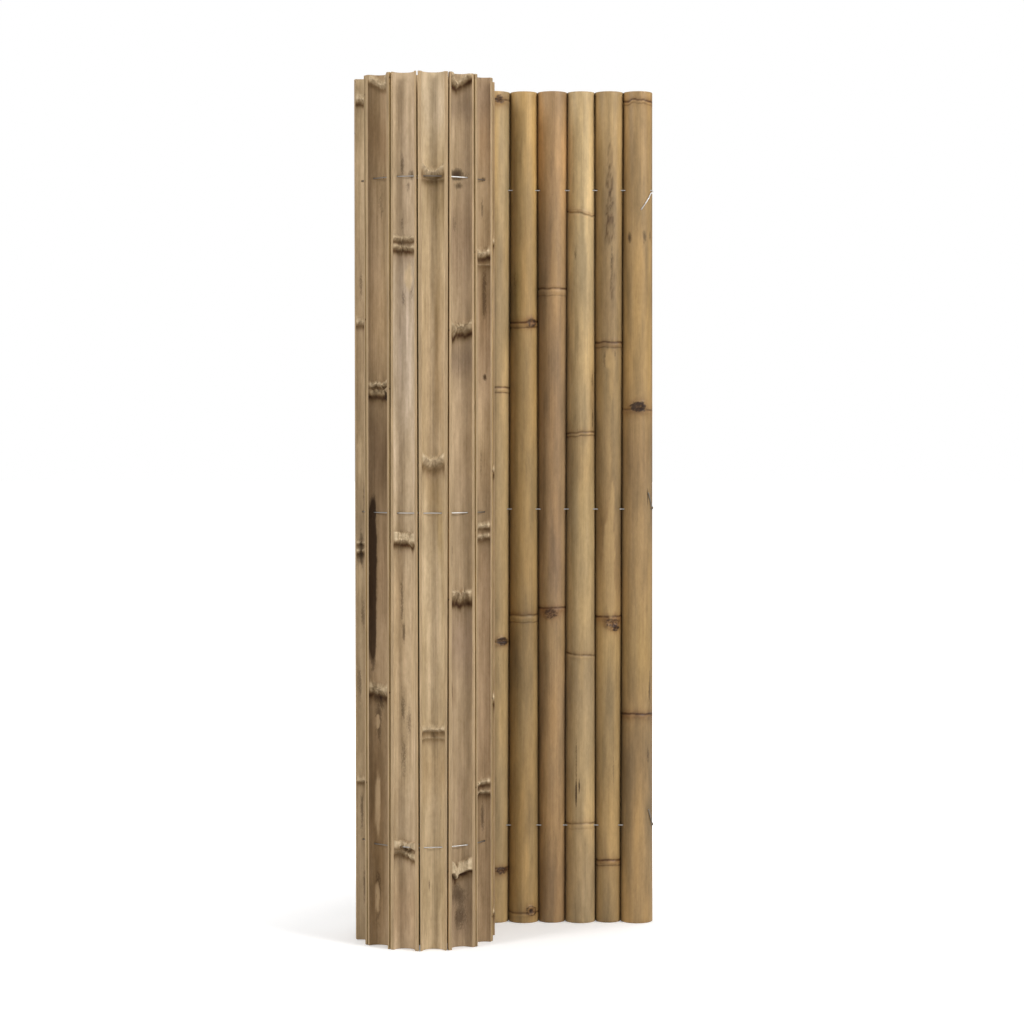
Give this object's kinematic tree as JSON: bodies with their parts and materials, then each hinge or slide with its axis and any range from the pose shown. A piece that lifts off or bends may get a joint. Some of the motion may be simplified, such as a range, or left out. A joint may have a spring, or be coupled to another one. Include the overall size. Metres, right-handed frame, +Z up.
{
  "type": "bamboo fence panel",
  "caption": "Fence panel of half-round split bamboo slats threaded on galvanised wires, standing partly rolled up with a flat flap beside the roll",
  "frame": {"origin": "middle of the foot of the box round the whole panel, on the floor under it", "axes": "+Z up along the slats, +X along the flap away from the roll, +Y from the round side of the flap to its split side, so the picture is seen looking along +Y"},
  "size_m": [0.354, 0.1756, 1],
  "materials": {
    "bamboo": "satin",
    "wire": "satin"
  },
  "bodies": {
    "root": {"slat_01": "bamboo", "slat_02": "bamboo", "slat_03": "bamboo", "slat_04": "bamboo", "slat_05": "bamboo", "slat_06": "bamboo", "slat_07": "bamboo", "slat_08": "bamboo", "slat_09": "bamboo", "slat_10": "bamboo", "slat_11": "bamboo", "slat_12": "bamboo", "slat_13": "bamboo", "slat_14": "bamboo", "slat_15": "bamboo", "slat_16": "bamboo", "slat_17": "bamboo", "slat_18": "bamboo", "slat_19": "bamboo", "slat_20": "bamboo", "slat_21": "bamboo", "slat_22": "bamboo", "slat_23": "bamboo", "slat_24": "bamboo", "slat_25": "bamboo", "slat_26": "bamboo", "slat_27": "bamboo", "slat_28": "bamboo", "slat_29": "bamboo", "slat_30": "bamboo", "wire_bottom": "wire", "wire_middle": "wire", "wire_top": "wire"}
  },
  "joints": []
}
